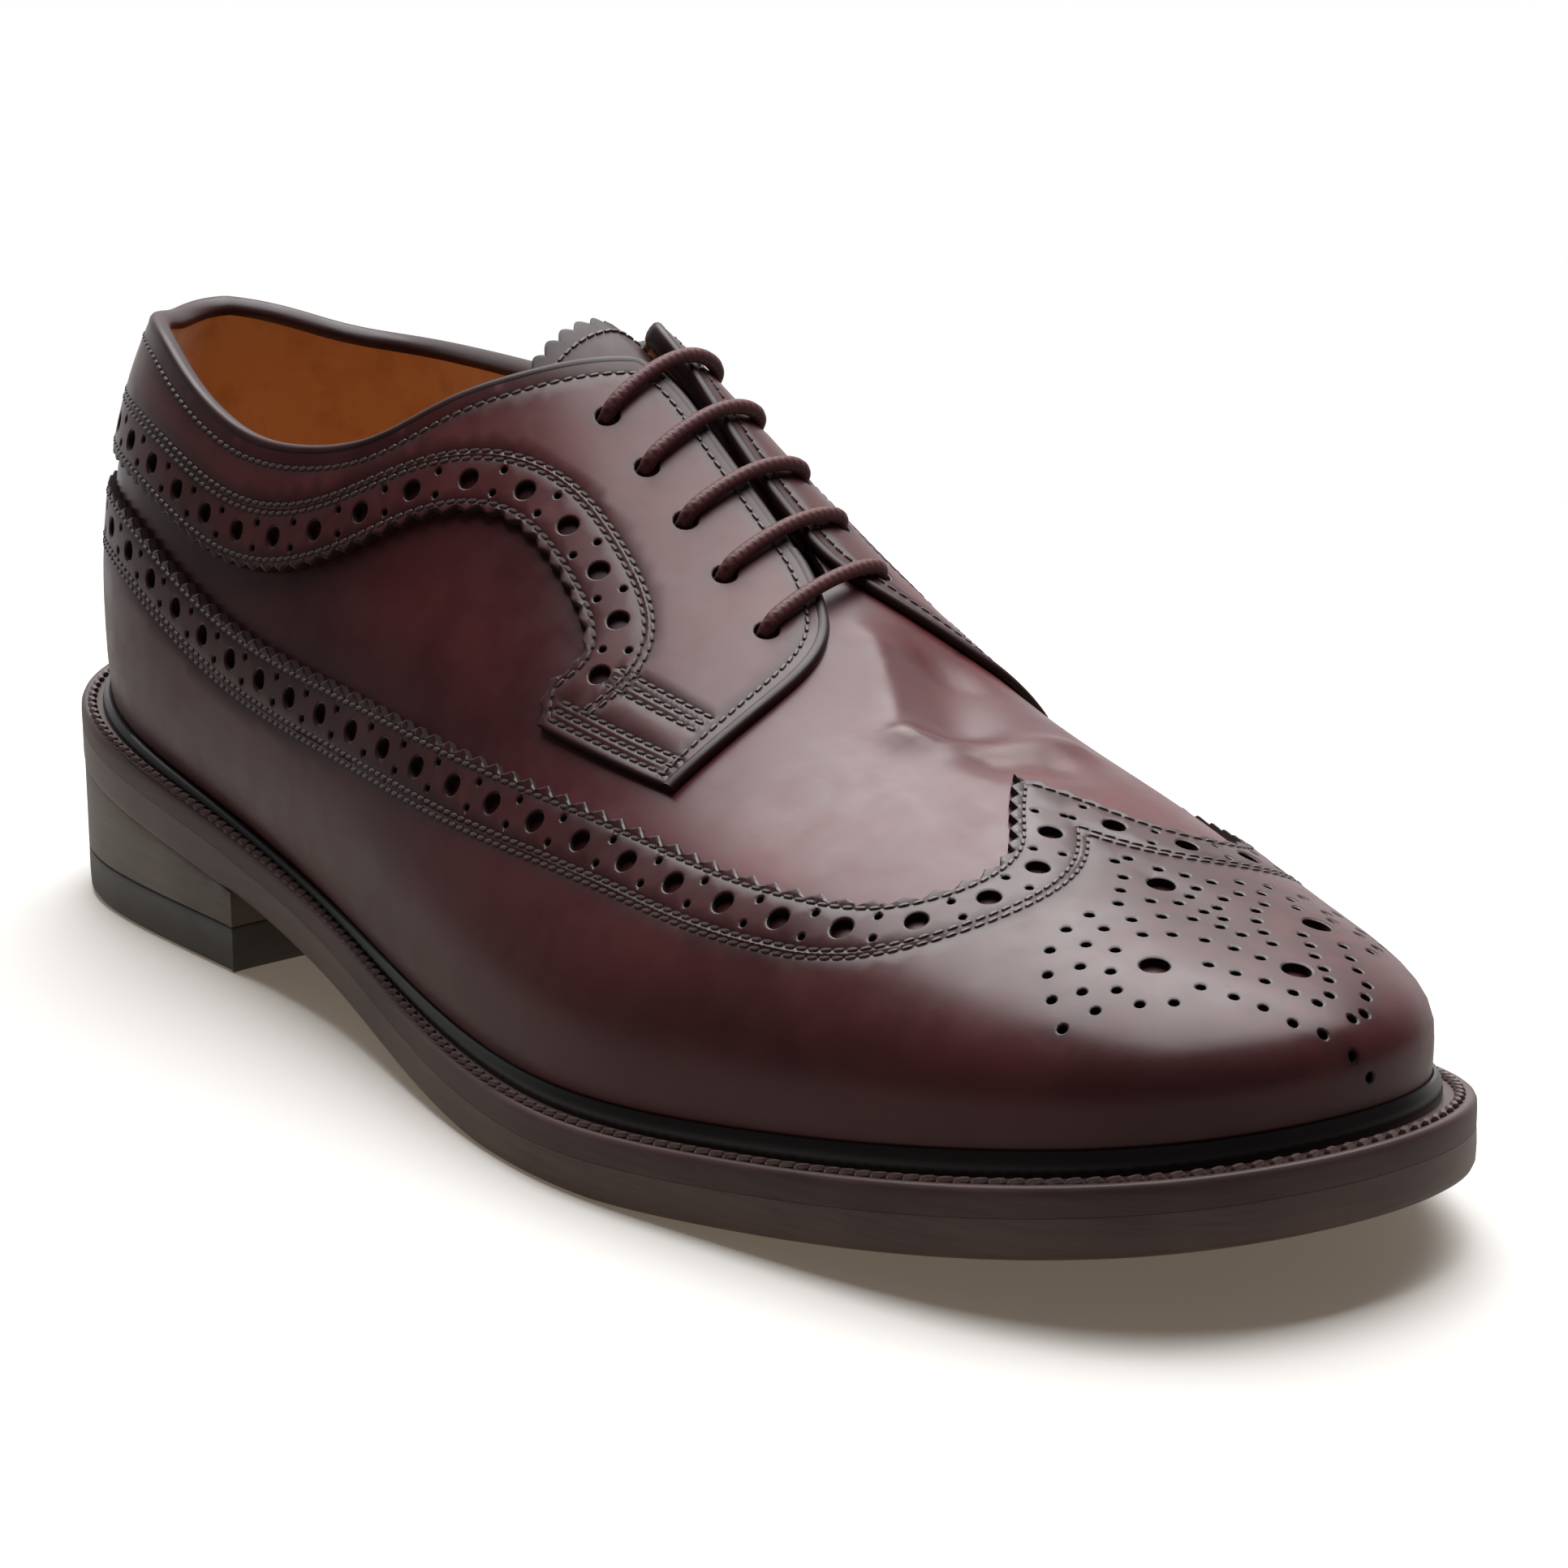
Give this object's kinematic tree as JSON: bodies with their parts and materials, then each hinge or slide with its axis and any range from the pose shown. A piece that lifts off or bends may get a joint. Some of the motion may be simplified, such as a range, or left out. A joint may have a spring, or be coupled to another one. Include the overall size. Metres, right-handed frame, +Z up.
{
  "type": "brogue derby shoe",
  "caption": "Right longwing brogue derby shoe in burgundy leather: hollow lasted upper with wing and facings, tongue, straight lacing, welted leather sole and stacked heel.",
  "frame": {"origin": "on the floor under the middle of the sole's outline", "axes": "+X from heel to toe, +Y to the inner side of the foot, +Z up"},
  "size_m": [0.3052, 0.1106, 0.1055],
  "materials": {
    "burgundy_leather": "polished burgundy leather, soft gloss",
    "wing_leather": "polished burgundy leather, punched and gimped",
    "facing_leather": "polished burgundy leather, punched and gimped",
    "tongue_leather": "burgundy leather, soft sheen",
    "tan_leather": "tan lining leather, matt",
    "welt_leather": "dark stained welt, stitched",
    "sole_leather": "dark brown burnished sole edge",
    "heel_leather": "dark burnished heel lifts",
    "black_rubber": "matt black rubber",
    "waxed_cotton": "round waxed cord, dark burgundy"
  },
  "bodies": {
    "root": {"upper": "burgundy_leather", "wing": "wing_leather", "facing_lateral": "facing_leather", "facing_medial": "facing_leather", "tongue": "tongue_leather", "lace_bar_1": "waxed_cotton", "lace_bar_2": "waxed_cotton", "lace_bar_3": "waxed_cotton", "lace_bar_4": "waxed_cotton", "lace_bar_5": "waxed_cotton", "insole": "tan_leather", "welt": "welt_leather", "outsole": "sole_leather", "heel_stack": "heel_leather", "heel_top_piece": "black_rubber"}
  },
  "joints": []
}
